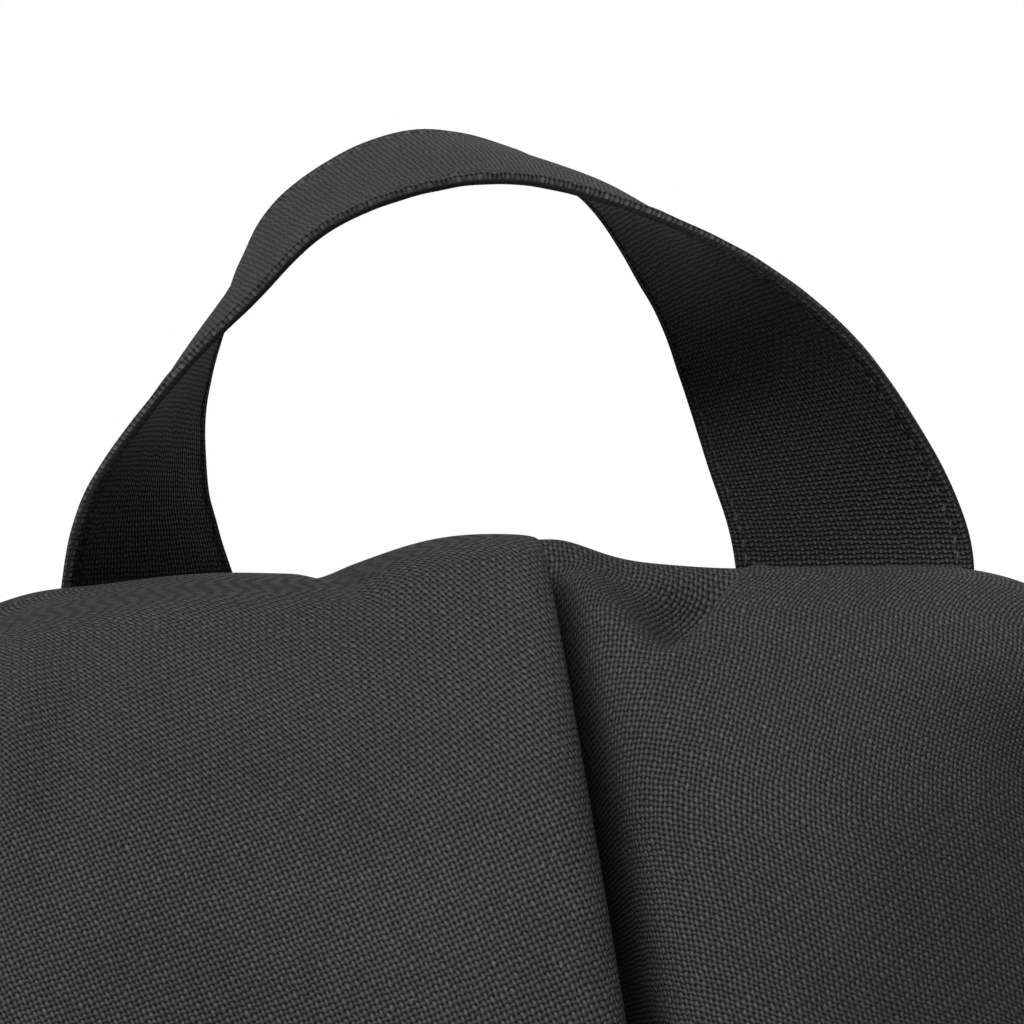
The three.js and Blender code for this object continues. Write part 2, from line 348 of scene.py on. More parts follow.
def painted_metal(name, colour):
    """Black-painted zinc, rubbed bright where it is handled."""
    n = Nodes(name)
    edges = n.add("ShaderNodeNewGeometry").outputs["Pointiness"]
    scuffs = object_noise(n, 900.0, detail=5.0, roughness=0.7)
    worn = n.spread(n.math("ADD", edges, n.math("MULTIPLY", scuffs, 0.08)), 0.56, 0.62, 0.0, 1.0)
    fine = object_noise(n, 5000.0)
    return n.finish(
        Base_Color=n.tint(colour, n.spread(worn, 0, 1, 1.0, 9.0)),
        Metallic=0.6, Roughness=n.spread(scuffs, 0.3, 0.7, 0.28, 0.5), Normal=n.bump(fine, 0.00003),
    )


def nylon(name, colour):
    n = Nodes(name)
    grain = object_noise(n, 3000.0)
    return n.finish(Base_Color=n.tint(colour, n.spread(grain, 0.3, 0.7, 0.8, 1.25)),
                    Roughness=n.spread(grain, 0.3, 0.7, 0.32, 0.48), Normal=n.bump(grain, 0.00003))


def film(name, colour):
    """Creased polyethylene."""
    n = Nodes(name)
    creases = object_noise(n, 90.0, detail=6.0, roughness=0.65)
    return n.finish(Base_Color=n.tint(colour, n.spread(creases, 0.3, 0.7, 0.8, 1.2)), Roughness=0.35,
                    Normal=n.bump(creases, 0.0015))


def sand_material(name, colour):
    n = Nodes(name)
    grains = object_noise(n, 1600.0, detail=2.0)
    drifts = object_noise(n, 60.0)
    bright = n.math("MULTIPLY", n.spread(grains, 0.3, 0.7, 0.6, 1.35), n.spread(drifts, 0.3, 0.7, 0.9, 1.1))
    return n.finish(Base_Color=n.tint(colour, bright), Roughness=0.95, Normal=n.bump(grains, 0.0004))


def webbing(name, colour):
    """Ribbed webbing, with its ribs along X, and painted shade in the grooves between the ribs."""
    n = Nodes(name)
    place = n.add("ShaderNodeTexCoord").outputs["Object"]
    split = n.add("ShaderNodeSeparateXYZ", Vector=place)
    ribs = n.math("ABSOLUTE", n.math("SINE", n.math("MULTIPLY", split.outputs[1], math.pi / 0.0014)))
    fibres = n.noise(place, 3500.0)
    # Painted shade: the colour darkens into the grooves between the ribs.
    bright = n.math("MULTIPLY", n.spread(ribs, 0, 1, 0.5, 1.1), n.spread(fibres, 0.3, 0.7, 0.75, 1.25))
    return n.finish(Base_Color=n.tint(colour, bright), Roughness=0.75, Normal=n.bump(ribs, 0.0003))


BAG_CLOTH = woven("bag_cloth", (0.0255, 0.0255, 0.026), 0.00088, 0.00095)
STRAP_CLOTH = woven("strap_cloth", (0.0265, 0.0265, 0.027), 0.00088, 0.00092)
BINDING_CLOTH = woven("binding_cloth", (0.022, 0.022, 0.0225), 0.0006, 0.0006, depth=0.00012)
TAPE_CLOTH = woven("tape_cloth", (0.012, 0.012, 0.012), 0.0005, 0.0005, depth=0.0001)
THREAD = thread_material("thread", (0.023, 0.023, 0.024))
ZIP_METAL = painted_metal("zip_metal", (0.013, 0.013, 0.014))
ZIP_NYLON = nylon("zip_nylon", (0.008, 0.008, 0.008))
LINER_FILM = film("liner_film", (0.04, 0.04, 0.042))
SAND = sand_material("sand", (0.46, 0.33, 0.15))
BAND_WEBBING = webbing("band_webbing", (0.02, 0.02, 0.021))


# ---------------------------------------------------------------- camera, light and floor

VIEW_ELEVATION = 11.5           # degrees
VIEW_DISTANCE = 800.0
VIEW_WIDTH = 184.3              # what the picture's width covers at the strap
VIEW_LEVEL = BAND_LEVEL + 15.0
FLOOR_RADIUS = 1100.0


def add_camera():
    lens = bpy.data.cameras.new("camera")
    lens.sensor_width = 36
    lens.lens = 36 * VIEW_DISTANCE / VIEW_WIDTH
    lens.clip_end = 100
    camera = bpy.data.objects.new("camera", lens)
    tilt = math.radians(VIEW_ELEVATION)
    camera.location = (0, -VIEW_DISTANCE * math.cos(tilt) * MM,
                       (VIEW_LEVEL + VIEW_DISTANCE * math.sin(tilt)) * MM)
    camera.rotation_euler = (math.pi / 2 - tilt, 0, 0)
    bpy.context.collection.objects.link(camera)
    bpy.context.scene.camera = camera


def add_sun(name, energy, angle, turn):
    """A soft sun: its size and its direction in degrees."""
    light = bpy.data.lights.new(name, "SUN")
    light.energy, light.angle = energy, math.radians(angle)
    sun = bpy.data.objects.new(name, light)
    sun.rotation_euler = [math.radians(part) for part in turn]
    bpy.context.collection.objects.link(sun)


def add_world():
    """White behind everything, and a dimmer fill light from all round."""
    world = bpy.data.worlds.new("studio")
    world.use_nodes = True
    nodes, links = world.node_tree.nodes, world.node_tree.links
    backdrop, fill = nodes["Background"], nodes.new("ShaderNodeBackground")
    for background, strength in ((backdrop, 1.0), (fill, 0.22)):
        background.inputs["Color"].default_value = (1, 1, 1, 1)
        background.inputs["Strength"].default_value = strength
    seen, mix = nodes.new("ShaderNodeLightPath"), nodes.new("ShaderNodeMixShader")
    links.new(seen.outputs["Is Camera Ray"], mix.inputs[0])
    links.new(fill.outputs[0], mix.inputs[1])
    links.new(backdrop.outputs[0], mix.inputs[2])
    links.new(mix.outputs[0], nodes["World Output"].inputs[0])
    bpy.context.scene.world = world


def add_floor():
    """A round floor that fades into the white behind it."""
    n = Nodes("floor")
    haze = object_noise(n, 3.0)
    n.finish(Base_Color=n.tint((0.5, 0.5, 0.5), n.spread(haze, 0.3, 0.7, 0.99, 1.01)), Roughness=0.9)
    place = n.add("ShaderNodeTexCoord").outputs["Object"]
    reach = n.add("ShaderNodeVectorMath", {"operation": "LENGTH"})
    n.put(reach.inputs[0], place)
    fade = n.add("ShaderNodeMapRange", {"interpolation_type": "SMOOTHERSTEP"})
    fade_start, fade_end = 0.35, 1.05       # metres
    for socket, given in zip(fade.inputs[:5], (reach.outputs["Value"], fade_start, fade_end, 1.0, 0.0)):
        n.put(socket, given)
    n.put(n.shader.inputs["Alpha"], fade.outputs[0])
    turns = np.arange(64) * math.tau / 64
    edge = np.stack([np.cos(turns), np.sin(turns), 0 * turns], axis=1) * FLOOR_RADIUS
    new_object("floor", edge, [list(range(64))], n.material)


bpy.context.scene.view_settings.view_transform = "Standard"
add_camera()
add_world()
add_sun("key", energy=4.8, angle=30, turn=(34, 0, -34))
add_sun("rim", energy=0.4, angle=60, turn=(-76, 0, -25))
add_floor()


# ---------------------------------------------------------------- pouch shape

CREST_ALONG = 12.0              # from the neck seam to the crest, along the cloth
FINE_REACH = 130.0              # cloth past the neck seam that has fine rows
SEAM_SHARE = 0.05               # thickness left at the side seam
SHOULDER_SINK = 24.0            # at the side seams
FOOT_LIFT = 13.0                # of the bottom corners
CORNER_TURN = 30.0              # the most that the outer corners turn back
WAIST = 7.0                     # how far a side seam is drawn in half-way up
CORNER_PULL = 10.0              # and at its upper end


def section(crest):
    """Outline of a pouch: distance from the bag's middle plane and height, from the seam at the neck
    over the shoulder, down the outer face, under the bottom and up the inner face."""
    upper = [
        (20.5, crest - 7), (21, crest + 0.5), (31, crest + 2.5), (48, crest - 3.5),
        (68, crest - 19), (88, crest - 47), (FACE - 6, crest - 86),
    ]
    lower = [
        (FACE + 0.5, 128), (FACE, 100), (FACE, ZIP_LEVEL), (FACE, 42), (FACE - 1, 14), (FACE - 13, -2),
        (FACE - 32, 0.5), (44, 0.5), (20, -2), (5, 10), (3.5, 40), (3.5, 80), (5, 120), (10, 170),
    ]
    return upper + lower + [(16, crest - 47), (19.5, crest - 20)]


def near_zip(place, reach):
    return (abs(place[..., 1] - ZIP_LEVEL) < reach) & (place[..., 0] > FACE - 8)


class Pouch:
    """The rows of one pouch's surface, and where a point of it lies at rest."""

    def __init__(self, crest, sink_from):
        self.crest, self.sink_from = crest, sink_from
        loop = bspline(section(crest), closed=True)
        start = np.argmin(np.hypot(loop[:, 0] - 20.6, loop[:, 1] - (crest - 4)))
        loop = np.concatenate([loop[start:-1], loop[:start + 1]])
        self.whole = arc_lengths(loop)[-1]
        rows, at = [], 0.0
        while at < self.whole - 1:
            rows.append(at)
            here = resample(loop, [at])[0]
            at += 1.5 if at < FINE_REACH else 1.0 if near_zip(here, 13) else 4.0
        rows = np.array(rows)
        self.place = resample(loop, rows)
        run = resample(loop, (rows + 1) % self.whole) - resample(loop, (rows - 1) % self.whole)
        run /= np.linalg.norm(run, axis=1)[:, None]
        self.outward = np.stack([-run[:, 1], run[:, 0]], axis=1)
        self.along = (rows - CREST_ALONG)[:, None]

    def sunk(self, x):
        """How far the shoulder sinks towards the side seams."""
        past = np.clip((np.abs(x) - self.sink_from) / (HALF_WIDTH - self.sink_from), 0, 1)
        return SHOULDER_SINK * past**2

    def turned_back(self, x):
        """How far the outer corners turn back, the right one more than the left."""
        left, right = np.clip(-x - 70, 0, None), np.clip(x - 38, 0, None)
        back = CORNER_TURN * np.tanh(np.where(x < 0, 0.006 * left**2, 0.0085 * right**2) / CORNER_TURN)
        return back * ramp(6, 50, self.along) * ramp(105, 175, self.place[:, 1:])

    def at(self, x, out, rise=0.0):
        """Points at x across, pushed outwards and upwards, for the front pouch."""
        d0, z0 = self.place[:, :1], self.place[:, 1:]
        past = np.clip((np.abs(x) - (HALF_WIDTH - 40)) / 40, 0, 1)
        share = SEAM_SHARE + (1 - SEAM_SHARE) * np.sqrt(1 - past**2.4)
        high = ramp(110, self.crest - 5, z0)
        low = 1 - ramp(0, 60, z0)
        lift = FOOT_LIFT * np.clip((np.abs(x) - 88) / (HALF_WIDTH - 88), 0, 1) ** 2
        outer = ramp(POUCH_MIDDLE - 20, POUCH_MIDDLE + 30, d0)
        out = out * share ** 0.4
        crest = np.where(self.along < 0, ramp(-CREST_ALONG, 0, self.along), bell(self.along, 30)) * share
        d = POUCH_MIDDLE + (d0 - POUCH_MIDDLE) * share + self.outward[:, :1] * out
        d -= self.turned_back(x) * outer * share
        z = z0 + rise * crest + self.outward[:, 1:] * out - self.sunk(x) * high + lift * low
        z = np.maximum(z, 0.25)
        waist, corner = self.seam_inset(z)
        aside = np.abs(x) / HALF_WIDTH
        return np.stack([x - np.sign(x) * (waist * aside**4 + corner * aside**8), -d, z], axis=-1)

    def seam_inset(self, z):
        """How far the side seams are drawn in between their corners, and at the upper corner."""
        waist = WAIST * np.sin(np.clip(z / self.crest, 0, 1) * math.pi)
        return waist, CORNER_PULL * ramp(self.crest - 60, self.crest - 22, z)

    def zip_calm(self, x):
        """0 on the flat cloth round the zip and 1 away from it."""
        aside = np.maximum(ramp(13, 32, np.abs(self.place[:, 1:] - ZIP_LEVEL)), ramp(85, 100, np.abs(x)))
        return np.where(self.place[:, :1] > FACE - 8, aside, 1.0)

    def zip_opening(self, x):
        """The slot over the zip and the folded hems beside it."""
        aside = np.abs(self.place[:, 1:] - ZIP_LEVEL)
        inside = 1 - ramp(ZIP_HALF + 5, ZIP_HALF + 7, np.abs(x))
        hem = ramp(4.2, 5.2, aside) * (1 - ramp(8.5, 10, aside))
        slot = 3.6 * (1 - ramp(3.9, 4.9, aside))
        return np.where(self.place[:, :1] > FACE - 8, inside * (0.5 * hem - slot), 0.0)

    def thinned(self, step):
        """The same pouch with every so many rows."""
        other = copy.copy(self)
        other.place, other.outward, other.along = (
            rows[::step] for rows in (self.place, self.outward, self.along))
        return other


# Cross-section of the deep fold in the front, where it is deepest: [across, outwards]. The left
# side swells to a rounded lip, turns under it, and comes out again on the right.
FOLD_SHAPE = [
    (-60, 0), (-48, 1.5), (-34, 5), (-20, 9.5), (-9, 12.5), (-3, 13.5), (1.5, 11.5), (1.5, 6), (-3, 1),
    (-5, -7), (-4.5, -18), (-2, -28), (2.5, -28), (5, -18), (7, -8), (10.5, -3), (17, -0.8), (30, 0),
]
FOLD_POINTS = 66
FOLD_TOP_X = 2.4                # the fold at the crest
FOLD_DRIFT = 0.165              # how far it goes to the right on each millimetre down


def fold_columns(steps_left=54, steps_right=70):
    """Where the columns of cloth lie: the fold's shape, the same columns laid flat, and the sides."""
    shape = bspline(FOLD_SHAPE, closed=False)
    folded = resample(shape, np.linspace(0, arc_lengths(shape)[-1], FOLD_POINTS))
    flat = np.linspace(folded[0, 0], folded[-1, 0], FOLD_POINTS)
    left = np.linspace(0, 1, steps_left, endpoint=False)
    right = np.linspace(0, 1, steps_right + 1)[1:]
    return folded, flat, left, right


# The front shoulder's height over the plain one: [across, rise], with a bulge left of the fold.
CREST_LINE = [
    (-125, -8), (-95, -5.7), (-82, -4.3), (-68, -0.4), (-50, 2.1), (-34, 0.8), (-28, 2.5), (-22, 4.5),
    (-14, 6.6), (-6, 7.4), (3, 7.6), (8, 8.2), (13, 6.2), (19, 3.5), (27, 2.8), (36, 2.4), (60, 2.4),
    (84, 2.4), (125, 0),
]


def crest_rise(x):
    line = bspline(CREST_LINE, closed=False)
    return np.interp(x, line[:, 0], line[:, 1])


def side_of_line(x, along, start, end):
    """Distance from the line through two points, positive above it."""
    (x0, a0), (x1, a1) = start, end
    return ((x - x0) * (a1 - a0) - (along - a0) * (x1 - x0)) / math.hypot(x1 - x0, a1 - a0)


def front_details(x, along):
    """Small shapes in the front's shoulder, outwards: a dent beside the fold and soft creases."""
    corner = (25.5, 27.0)
    from_fold = side_of_line(x, along, (FOLD_TOP_X, 1.0), corner)
    from_foot = side_of_line(x, along, corner, (42.0, -1.0))
    total = -9.0 * ramp(0, 12, from_fold) * ramp(-0.3, 1.6, from_foot) * ramp(-4, 9, along)
    total *= 1 - 0.6 * ramp(3, 14, from_foot)
    ridge = bell(from_foot, 1.3) * ramp(corner[0] - 2, corner[0] + 3, x) * (1 - ramp(40, 52, x))
    total += 0.9 * ridge * ramp(-8, 0, along)
    total += 0.8 * bell(from_fold, 3.5) * ramp(4, 12, along) * (1 - ramp(17, 26, along))
    # The bulge's left edge, and an upright ridge further left.
    edge_x = -32.5 + 0.55 * np.clip(along, -6, 26)
    total += -1.6 * bell(x - edge_x, 2.4) * ramp(-9, 0, along) * (1 - ramp(10, 28, along))
    total += 1.6 * bell(x + 84, 6) * bell(along - 30, 26)
    total += -1.5 * bell(x + 75, 7) * bell(along - 38, 24)
    total += 0.7 * ripples(1, x, along, 62) * ramp(4, 30, along)
    return total


def pouch_cloth(pouch, fold_depth, details, seed):
    """(vertices, cloth UV) of a cover with the front pouch's side outwards; fold_depth from 0 to 1."""
    folded, flat, left, right = fold_columns()
    a = pouch.along
    depth = fold_depth * ramp(-5, 16, a) * (0.5 + 0.5 * ramp(6, 60, a)) * (1 - ramp(85, 205, a))
    centre = (FOLD_TOP_X + FOLD_DRIFT * np.clip(a, -CREST_ALONG, 150)) * (1 - ramp(230, 360, a))
    turn = np.where(a < 60, np.clip(depth * 3, 0, 1), ramp(0, 0.85, depth))
    fold_x = centre + flat * (1 - turn) + folded[:, 0] * turn
    x = np.concatenate([
        -HALF_WIDTH + left * (fold_x[:, :1] + HALF_WIDTH),
        fold_x,
        fold_x[:, -1:] + right * (HALF_WIDTH - fold_x[:, -1:]),
    ], axis=1)
    fold = np.zeros_like(x)
    fold[:, len(left):len(left) + FOLD_POINTS] = depth * folded[:, 1]

    edge = HALF_WIDTH - np.abs(x)
    puckers = 1.1 * ripples(seed + 1, 0.35 * x, a, 24) * bell(edge - 9, 14) * ramp(0, 6, edge)
    soft = fold + details(x, a) + 0.8 * ripples(seed, x, a, 75) + puckers
    out = soft * pouch.zip_calm(x) + pouch.zip_opening(x)
    rise = crest_rise(x) if fold_depth == 1 else 0.6 * ripples(seed + 2, x, 0 * a, 120) - 1.2
    vertices = pouch.at(x, out, rise)

    # Cloth coordinates: lengths across and along, with the grain turned as the cloth was pulled.
    steps = np.hypot(np.diff(x, axis=1), np.diff(fold, axis=1))
    across = np.concatenate([np.zeros((len(x), 1)), np.cumsum(steps, axis=1)], axis=1)
    lip = len(left) + int(FOLD_POINTS * 0.62)
    across = across - across[:, lip:lip + 1]
    down = np.broadcast_to(a, across.shape)
    fade = fold_depth * (1 - ramp(110, 210, a)) * ramp(-CREST_ALONG, -4, a)
    angle = np.radians(19) * fade * (across < 0)
    pivot = 45.0
    u = across * np.cos(angle) - (down - pivot) * np.sin(angle)
    v = down * np.cos(angle) + across * np.sin(angle)
    slope_at = np.linspace(0, 160, 161)
    droop = np.concatenate([[0], np.cumsum(0.06 + 0.46 * ramp(24, 62, slope_at))])[:-1]
    v = v - np.interp(np.maximum(across, 0), slope_at, droop) * fade
    return vertices, np.stack([u, v], axis=-1)


def wrapped_grid(name, vertices, material, caps=False):
    """A closed surface from rows that come back to the first one."""
    rows, columns = vertices.shape[:2]
    faces = grid_faces(rows, columns, wrap_rows=True).tolist()
    if caps:
        faces.append([r * columns for r in range(rows)])
        faces.append([r * columns + columns - 1 for r in range(rows)][::-1])
    return new_object(name, vertices.reshape(-1, 3), faces, material)


def swing_pouch(piece):
    """Writes the piece's placement into its mesh."""
    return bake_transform(piece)


def add_cover(side, pouch, turn):
    if side == "front":
        vertices, uv = pouch_cloth(pouch, 1, front_details, 10)
    else:
        vertices, uv = pouch_cloth(pouch, 0.32, lambda x, a: 0.9 * ripples(31, x, a, 50), 20)
    rows, columns = vertices.shape[:2]
    # The seam at the neck is a cut in the cloth coordinates, so the last row repeats the first.
    vertices = np.concatenate([vertices, vertices[:1]])
    last = uv[:1].copy()
    last[..., 1] = uv[-1:, :, 1] + 4
    faces = grid_faces(rows + 1, columns)[:, ::-1].tolist()
    cloth = new_object(f"{side}_cloth", (vertices * turn).reshape(-1, 3), faces, BAG_CLOTH)
    set_cloth_uv(cloth, np.concatenate([uv, last]))
    subdivided(cloth)
    swing_pouch(cloth)
    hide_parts(f"{side}_cover")


TAPE_SIDES = 16
TAPE_HALF = (2.1, 3.6)          # half the side seam's tape, across and through the bag


def add_binding(side, pouch, turn):
    """The taped side seams, stitched through."""
    for name, sign in (("left", -1), ("right", 1)):
        x = np.full((len(pouch.along), 1), sign * (HALF_WIDTH - 0.5))
        ring = pouch.at(x, 0 * x)[:, 0]
        low, high = ring[:, 2].min() + 1.5, ring[:, 2].max() - 2.0
        z = np.linspace(low, high, 90)
        edge = sign * (HALF_WIDTH - 0.5 - sum(pouch.seam_inset(z)))
        wave = 0.5 * ripples(40, z, 0 * z, 31)
        middle = np.stack([edge - sign * 1.2, -POUCH_MIDDLE + wave, z], axis=1)
        turns = np.arange(TAPE_SIDES) * math.tau / TAPE_SIDES
        cross = np.stack([np.cos(turns), np.sin(turns)], axis=1)
        cross = np.sign(cross) * np.abs(cross) ** 0.6 * TAPE_HALF
        taper = np.sqrt(np.clip(1 - np.abs(np.linspace(-1, 1, len(z))) ** 24, 0.02, 1))[:, None, None]
        rings = middle[:, None].repeat(TAPE_SIDES, axis=1)
        rings[..., :2] += cross[None] * taper
        tape = new_object(f"{side}_binding_{name}", (rings * turn).reshape(-1, 3),
                          tube_faces(len(z), TAPE_SIDES), BINDING_CLOTH)
        set_cloth_uv(tape, np.stack(np.broadcast_arrays(turns[None] * 3, z[:, None]), axis=-1))
        swing_pouch(tape)
        lines = []
        for face in (-1, 1):
            points = middle + [-sign * 0.3, face * (TAPE_HALF[1] - 0.12), 0]
            lines.append((points[4:-4] * turn, (0, face * turn[1], 0)))
        stitches = stitch_rows(f"{side}_binding_stitches_{name}", lines)
        swing_pouch(stitches)


SAND_DROP = 27.5                # from the crest to the sand


def add_filling(side, pouch, turn):
    """The liner and the sand inside, clear of the cover's fold."""
    inner = pouch.thinned(3)
    x = np.linspace(8 - HALF_WIDTH, HALF_WIDTH - 8, 60)[None].repeat(len(inner.along), axis=0)
    fold = 26 * bell(x - 12, 34) * ramp(-0.3, 0.5, inner.outward[:, :1]) * ramp(-12, 4, inner.along)
    fold *= 1 - ramp(160, 200, inner.along)
    for name, slot, inset, material in (("liner", "liner_film", 7, LINER_FILM), ("sand", "sand", 11, SAND)):
        rough = 0.7 * ripples(50 + inset, x, inner.along, 38)
        vertices = inner.at(x, rough - inset - fold - 6 * bell(inner.along, 25))
        vertices[..., 2] = np.clip(vertices[..., 2], inset - 3, pouch.crest - 17)
        if name == "sand":
            level = pouch.crest - SAND_DROP + 2.5 * ripples(60, vertices[..., 0], vertices[..., 1], 70)
            vertices[..., 2] = np.minimum(vertices[..., 2], level)
        filling = wrapped_grid(f"{side}_{name}_filling", vertices * turn, material, caps=True)
        swing_pouch(filling)
        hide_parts(f"{side}_{name}")


# ---------------------------------------------------------------- carrying strap

# The strap's edges from the left foot over the arch to the right foot: [x, y, height above the
# band's middle].
STRAP_NEAR = [
    (-80, -17, 0), (-77, -20, 16), (-72, -21, 27), (-61.5, -23, 40), (-46.5, -22, 55), (-31, -22, 70.5),
    (-7, -23, 78), (15, -23, 75), (38, -21, 66), (59, -17, 50), (73, -12, 31), (81, -10, 14), (83, -10, 0),
]
STRAP_FAR = [
    (-50, 17, -5), (-55, 20, 9), (-57, 21, 18), (-57, 23, 32), (-52, 22, 50), (-41, 22, 69),
    (-17, 23, 80.5), (11.5, 23, 71.5), (24.5, 21, 52), (31, 17, 36), (36, 12, 21), (40, 10, 9), (42, 10, -5),
]
STRAP_THICK = 1.7
HEM = 2.6                       # from the strap's edge to its line of stitches


def catmull_rom(points, fine=20):
    p = np.array(points, float)
    p = np.concatenate([2 * p[:1] - p[1:2], p, 2 * p[-1:] - p[-2:-1]])
    out = []
    for a, b, c, d in zip(p[:-3], p[1:-2], p[2:-1], p[3:]):
        t = np.linspace(0, 1, fine, endpoint=False)[:, None]
        out.append(0.5 * (2 * b + (c - a) * t + (2 * a - 5 * b + 4 * c - d) * t**2
                          + (3 * b - a - 3 * c + d) * t**3))
    return np.concatenate(out + [p[-2:-1]])


def strap_frames(count):
    """Near edge, across, outward and length down the strap."""
    lift = np.array([0, 0, BAND_LEVEL])
    near, far = catmull_rom(STRAP_NEAR) + lift, catmull_rom(STRAP_FAR) + lift
    middle = (near + far) / 2
    at = np.linspace(0, arc_lengths(middle)[-1], count)
    along = arc_lengths(middle)
    near = np.stack([np.interp(at, along, near[:, k]) for k in range(3)], axis=1)
    far = np.stack([np.interp(at, along, far[:, k]) for k in range(3)], axis=1)
    run = np.gradient((near + far) / 2, axis=0)
    across = far - near
    away = np.cross(run, across)
    away /= np.linalg.norm(away, axis=1)[:, None]
    return near, across, away, at


def strap_profile(width):
    """Places across the strap from 0 to width, and the cloth's height there, for one face."""
    places = np.concatenate([
        np.array([0, 0.25, 0.7, 1.3, 1.9, 2.25, HEM, 2.95, 3.4, 4.2]),
        np.linspace(5.5, width - 5.5, 26),
        width - np.array([4.2, 3.4, 2.95, HEM, 2.25, 1.9, 1.3, 0.7, 0.25, 0]),
    ])
    edge = np.minimum(places, width - places)
    round_edge = np.sqrt(np.clip(1 - ((0.9 - edge) / 0.9).clip(0) ** 2, 0, 1))
    groove = 0.5 * bell(edge - HEM, 0.45)
    hem = 0.25 * (1 - ramp(HEM, HEM + 1.2, edge))
    return places, round_edge * (STRAP_THICK / 2 + hem) - groove


def strap_bulge(at, share):
    """How far the strap's middle surface stands out: soft waves, and a cupped shape where it twists."""
    cupped = 2.0 * bell(at - 47, 20) + 1.8 * bell(at - 142, 24)
    return 0.5 * ripples(6, at, share * 46, 42) + cupped * 4 * share * (1 - share)


def strap_surface(near, across, away, at, places, width, heights, face):
    share = places / width
    base = near[:, None] + across[:, None] * share[None, :, None]
    pucker = 1 + 0.12 * ripples(5, at[:, None], places[None] * 0.4, 5.5) * bell(
        np.minimum(places, width - places)[None] - HEM, 2.0)
    offset = face * heights[None] * pucker + strap_bulge(at[:, None], share[None])
    return base + away[:, None] * offset[..., None]


def add_strap():
    near, across, away, at = strap_frames(190)
    width = float(np.median(np.linalg.norm(across, axis=1)))
    places, heights = strap_profile(width)
    top = strap_surface(near, across, away, at, places, width, heights, 1)
    bottom = strap_surface(near, across, away, at, places, width, heights, -1)
    inner = slice(-2, 0, -1)
    loop = np.concatenate([top, bottom[:, inner]], axis=1)
    count = loop.shape[1]
    strap = new_object("carrying_strap", loop.reshape(-1, 3), tube_faces(len(loop), count), STRAP_CLOTH)
    around = np.concatenate([places, 2 * width - places[inner]])
    uv = np.stack(np.broadcast_arrays(around[None], at[:, None]), axis=-1)
    set_cloth_uv(strap, uv)
    return strap, (near, across, away, at, width)


STITCH_PITCH = 2.9
STITCH_LENGTH = 2.1
THREAD_RADIUS = 0.24


def stitch(centre, run, away):
    """One short stitch: a thread that rises out of the cloth and goes back in."""
    t = np.linspace(-0.5, 0.5, 7)
    path = centre + run * (t * STITCH_LENGTH)[:, None] + away * (0.28 * np.cos(t * math.pi) - 0.12)[:, None]
    return tube(path, THREAD_RADIUS * (0.55 + 0.45 * np.cos(t * math.pi)), sides=6)


def add_strap_stitches(frames):
    near, across, away, at, width = frames
    run = np.gradient(near + across / 2, axis=0)
    run /= np.linalg.norm(run, axis=1)[:, None]
    level = STRAP_THICK / 2 - 0.28
    parts = []

    def pick(array, place):
        return np.array([np.interp(place, at, array[:, k]) for k in range(3)])

    for offset in (HEM, width - HEM):
        for place in np.arange(3, at[-1] - 3, STITCH_PITCH):
            for face in (1, -1):
                stand = strap_bulge(place, offset / width) + face * level
                up = pick(away, place)
                centre = pick(near, place) + pick(across, place) * offset / width + up * stand
                parts.append(stitch(centre, pick(run, place), up * face))
    vertices, faces = joined(parts)
    return new_object("strap_stitches", vertices, faces, THREAD)


def tilt_strap(piece):
    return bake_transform(piece)


strap, strap_lines = add_strap()
tilt_strap(strap)
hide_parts("handle_strap_outer", "handle_strap_lining", "handle_foot_left", "handle_foot_right")
strap_stitches = add_strap_stitches(strap_lines)
tilt_strap(strap_stitches)


# ---------------------------------------------------------------- band

BAND_THICK = 1.2
NECK_ROLL = 2.3                 # radius of the rolled seam at a pouch's neck
LINING_LAYER = (-2.6, -1.5)     # bottom and top of each layer, over the top of the band
PATCH_LAYER = (0.15, 1.15)
PATCH_INSET = 2.5               # from a patch's edge to its stitches
BAND_STITCH_Y = 16.5


def band_top(y):
    fall = np.where(np.asarray(y) < 0, CREST_RISE, BACK_CREST - BAND_LEVEL)
    return BAND_LEVEL + fall * (np.asarray(y) / (BAND_HALF + 1)) ** 2


POUCHES = {"front": Pouch(FRONT_CREST, 76), "back": Pouch(BACK_CREST, 58)}


def band_sag(x, y):
    """How far the band sinks at its ends, with the pouches' shoulders."""
    front = POUCHES["front"].sunk(x) + np.clip(-crest_rise(x), 0, None)
    back = POUCHES["back"].sunk(x)
    share = ramp(-BAND_HALF, BAND_HALF, y)
    return 0.92 * (front * (1 - share) + back * share)


def sheet_on_band(name, x_range, half, low, high, material, step=1.5, sag=0.0):
    """A closed sheet that follows the band's hollow between two heights over it."""
    xs = np.linspace(*x_range, max(3, round((x_range[1] - x_range[0]) / step)))
    ys = np.linspace(-half, half, max(5, round(2 * half / step)))
    x, y = np.meshgrid(xs, ys)
    edge = np.minimum.reduce([x - xs[0], xs[-1] - x, y + half, half - y])
    wave = sag * ripples(8, x, y, 45) * ramp(0, 8, edge) - band_sag(x, y)
    thin = np.sqrt(np.clip(1 - ((0.5 - edge) / 0.5).clip(0) ** 2, 0, 1))
    middle, reach = (low + high) / 2, (high - low) / 2
    upper = np.stack([x, y, band_top(y) + wave + middle + reach * thin], axis=-1)
    lower = np.stack([x, y, band_top(y) + wave + middle - reach * thin], axis=-1)
    rows, columns = x.shape
    top_faces = grid_faces(rows, columns)
    bottom_faces = grid_faces(rows, columns)[:, ::-1] + rows * columns
    vertices = np.concatenate([upper.reshape(-1, 3), lower.reshape(-1, 3)])
    sheet = new_object(name, vertices, np.concatenate([top_faces, bottom_faces]).tolist(), material)
    weld = sheet.modifiers.new("Weld", "WELD")
    weld.merge_threshold = 0.01 * MM
    uv = np.stack([vertices[:, 0], vertices[:, 1]], axis=-1)
    set_cloth_uv(sheet, uv)
    return apply_modifiers(sheet)


